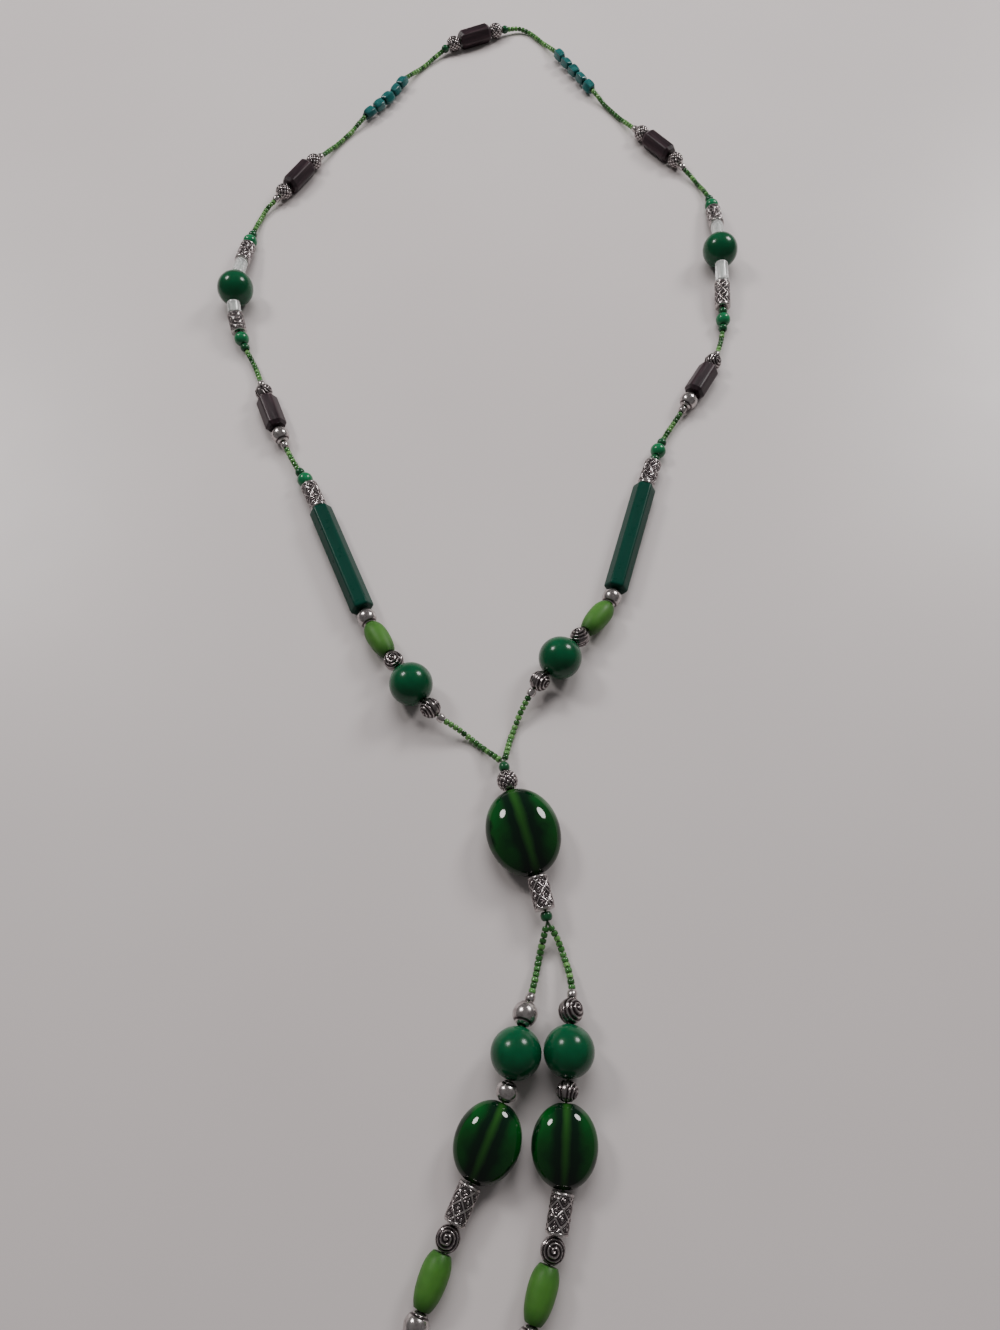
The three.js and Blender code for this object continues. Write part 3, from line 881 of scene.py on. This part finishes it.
SILVER = silver_material()
BIG_GREEN = big_ball_material()
OVALS = {kind: oval_material(kind, BEADS[kind][1] / 2, BEADS[kind][0] / 2)
         for kind in THICKNESS}
SEED = seed_material()
TEAL = long_tube_material()
WOOD = wood_material()
CLEAR = clear_material()
LIME = lime_material()
ROUND_GREEN = cloudy_material("round_green", (0.004, 0.10, 0.035), (0.010, 0.19, 0.07))
DARK_GREEN = cloudy_material("dark_green", (0.003, 0.045, 0.016), (0.008, 0.09, 0.03))
CHIP = cloudy_material("teal_chip", (0.002, 0.055, 0.055), (0.010, 0.135, 0.130),
                       (0.18, 0.32), 260)
THREAD_LOOK = cloudy_material("thread", (0.02, 0.06, 0.02), (0.04, 0.10, 0.035),
                              (0.4, 0.6), 900)

# kind: (material, record's slot, key of the piece that a strand's beads join)
LOOKS = {
    **dict.fromkeys((*SILVER_BALLS, *SILVER_TUBES, "silver_small"),
                    (SILVER, "antique_silver", "silver")),
    **dict.fromkeys(("green_seed", "dark_seed"), (DARK_GREEN, "seed_glass", "spacers")),
    "medium_round": (ROUND_GREEN, "green_glass", "rounds"),
    "nugget": (CHIP, "teal_glass", "chips"),
    **dict.fromkeys(CLEAR_TUBES, (CLEAR, "clear_glass", "clear")),
    "big_ball": (BIG_GREEN, "green_glass", "green"),
    "barrel": (WOOD, "dark_wood", "wood"),
    "long_tube": (TEAL, "teal_glass", "teal"),
    "lime_drop": (LIME, "lime_glass", "lime"),
    "tassel_oval": (OVALS["tassel_oval"], "green_glass", "oval"),
    "pendant_oval": (OVALS["pendant_oval"], "green_glass", "oval"),
    "seeds": (SEED, "seed_glass", "seeds"),
    "thread": (THREAD_LOOK, "seed_glass", "thread"),
}


# ---- Layout -----------------------------------------------------------------
strands = {}   # strand node: list of (kind, style, points, trims)
own = []       # beads with a node of their own: (node, kind, style, points)
NO_TRIM = (0, 0)


def add_to_strand(name, kind, style, points, trims=NO_TRIM):
    strands.setdefault(name, []).append((kind, style, points, trims))


def stretches(links):
    """Neighbouring links that are all own beads or all joined: (is_own, links)."""
    found = []
    for link in links:
        is_own = link[1] is not None
        if found and found[-1][0] == is_own:
            found[-1][1].append(link)
        else:
            found.append((is_own, [link]))
    return found


def lay(links, prefix, first, last):
    """Sorts the links of a chain, which starts and ends with joined beads, into own
    beads and strands. first, last: strands that the chain shares with its neighbours."""
    parts = stretches(links)
    names = [f"{prefix}strand_{k + 1}" for k in range(len(parts) // 2 + 1)]
    names[0] = first or names[0]
    names[-1] = last or names[-1]
    for i, (is_own, members) in enumerate(parts):
        for j, (kind, node, style, points) in enumerate(members):
            if is_own:
                # The thread in an own bead's hole goes with the nearer strand.
                own.append((prefix + node, kind, style, points))
                nearer = i + 1 if j >= len(members) // 2 else i - 1
                add_to_strand(names[nearer // 2], "thread", None, points)
            else:
                add_to_strand(names[i // 2], kind, style, points)


def line_length(points):
    return sum(float(np.linalg.norm(b - a)) for a, b in zip(points, points[1:]))


half_back = (BEADS["barrel"][0] + GAP) / 2
back = [np.array([BACK_CENTRE[0] + way * half_back * math.cos(BACK_ANGLE),
                  BACK_CENTRE[1] + way * half_back * math.sin(BACK_ANGLE), HEX_REST])
        for way in (-1, 1)]
own.append(("back_barrel", "barrel", None, back))
back_middle = (back[0] + back[1]) / 2
for side, start in zip(("left", "right"), back):
    line = smooth_line([tuple(start[:2]), *ROUTE[side]], ROUTE_STEPS)
    links, here, height = chain(NECK_SIDE, line, HEX_REST, side)
    lay(links, f"{side}_", None, "yoke_strand")
    add_to_strand(f"{side}_strand_1", "thread", None, [back_middle, start])
    rest = line_length([here[1], *line[here[0] + 1:]])
    points, _ = seed_run(line, here, rest * 0.999, height, JUNCTION_HEIGHT)
    add_to_strand("yoke_strand", "seeds", None, points, (0, SEED_TRIM))

pendant_line = smooth_line(PENDANT_ROUTE, ROUTE_STEPS)
links, pendant_end, pendant_height = chain(PENDANT_ROW, pendant_line, JUNCTION_HEIGHT, None)
lay(links, "", "yoke_strand", "tassel_strand")
for side in ("left", "right"):
    line = smooth_line([tuple(pendant_end[1]), *TASSEL_ROUTE[side]], ROUTE_STEPS)
    links, _, _ = chain(TASSEL, line, pendant_height, side)
    for kind, node, style, points in links:
        if node is None:
            trims = (SEED_TRIM, 0) if kind == "seeds" else NO_TRIM
            add_to_strand("tassel_strand", kind, style, points, trims)
        else:
            own.append((f"{side}_tassel_{node}", kind, style, points))
            add_to_strand("tassel_strand", "thread", None, points)

# The CAD is moved so that its box is centred. The pendant's box tells by how much.
oval_points = next(points for node, _, _, points in own if node == "pendant_oval")
low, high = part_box("pendant_oval")
SHIFT = np.array((low + high) / 2) / MM - (oval_points[0] + oval_points[1]) / 2
SHIFT[2] = 0.0


# ---- Pieces -----------------------------------------------------------------
SHARP, SHARP_FACETED = 50.0, 28.0   # degrees; the second is for six-sided beads
# The left tassel's silver balls above and below its big ball are plain.
PLAIN_NODE = "left_tassel_upper_ball"
TASSELS_PART_AT = 15.0              # X between the two balls above the big balls


def add_piece(name, mesh, material, sharp, node, place=None):
    piece = make_object(name, mesh, material, sharp, place)
    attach(piece, "root")
    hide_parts(node)


for number, (node, kind, style, points) in enumerate(own):
    if node == PLAIN_NODE:
        style = "plain"
    mesh = Mesh()
    mesh.add(*bead_mesh(kind, style, 100 + number))
    matrix = link_matrix(points[0] + SHIFT, points[1] + SHIFT)
    matrix[:3, 3] *= MM
    material, slot, _ = LOOKS[kind]
    sharp = SHARP_FACETED if kind in ("long_tube", "barrel") else SHARP
    add_piece(node + "_bead", mesh, material, sharp, node, Matrix(matrix.tolist()))

for name, items in strands.items():
    meshes = {}
    for kind, style, points, trims in items:
        points = [p + SHIFT for p in points]
        mesh = meshes.setdefault(LOOKS[kind][2], (Mesh(), kind))[0]
        thread = meshes.setdefault("thread", (Mesh(), "thread"))[0]
        if kind == "thread":
            thread_mesh(thread, points)
        elif kind == "seeds":
            seeds_mesh(mesh, points, *trims, rng)
            thread_mesh(thread, smooth_line(points, 3))
        else:
            seed = rng.randrange(10000)
            if kind == "rose_ball" and points[0][0] < TASSELS_PART_AT:
                style = "plain"
            mesh.add(*bead_mesh(kind, style, seed), link_matrix(points[0], points[1]))
            thread_mesh(thread, points)
    for key, (mesh, kind) in meshes.items():
        material, slot, _ = LOOKS[kind]
        add_piece(f"{name}_{key}", mesh, material, SHARP, name)

# ---- Stage, light and camera ------------------------------------------------
FLOOR_SIZE = 6.0
LIT_POINT = Vector((0.0, -0.02, 0.0))   # every light faces it
CAMERA_AT = (8.0, -200.0, 272.0)        # in millimetres, before the shift
CAMERA_TILT = math.radians(26.0)        # from straight down

bpy.ops.mesh.primitive_plane_add(size=FLOOR_SIZE, location=(0, 0, 0))
floor = bpy.context.object
floor.name = "table"
floor.data.materials.append(table_material())

world = bpy.data.worlds.new("room")
bpy.context.scene.world = world
world.use_nodes = True
sky = world.node_tree.nodes["Background"]
sky.inputs["Color"].default_value = (1.0, 0.975, 0.97, 1.0)
sky.inputs["Strength"].default_value = 0.15


def area_light(name, direction, distance, size, power, color, glossy=True):
    """A round light. glossy: whether it shows as a highlight."""
    data = bpy.data.lights.new(name, "AREA")
    data.shape = "DISK"
    data.size = size
    data.energy = power
    data.color = color
    light = bpy.data.objects.new(name, data)
    light.location = LIT_POINT + Vector(direction).normalized() * distance
    light.rotation_euler = (LIT_POINT - light.location).to_track_quat("-Z", "Y").to_euler()
    light.visible_glossy = glossy
    bpy.context.scene.collection.objects.link(light)


area_light("light_left", (-0.568, 0.479, 0.668), 1.35, 0.31, 6.6, (1.0, 0.97, 0.95))
area_light("light_right", (0.594, 0.59, 0.555), 1.35, 0.38, 8.6, (1.0, 0.98, 0.97))
area_light("light_fill", (0.0, 0.85, 1.0), 1.45, 1.1, 16.5, (1.0, 0.98, 0.98), False)

camera_data = bpy.data.cameras.new("camera")
camera_data.sensor_fit = "HORIZONTAL"
camera_data.sensor_width = 36.0
camera_data.lens = 36.0
camera_data.clip_start = 0.01
camera = bpy.data.objects.new("camera", camera_data)
camera.location = [(at + shift) * MM for at, shift in zip(CAMERA_AT, SHIFT)]
camera.rotation_euler = (CAMERA_TILT, 0.0, 0.0)
bpy.context.scene.collection.objects.link(camera)
bpy.context.scene.camera = camera
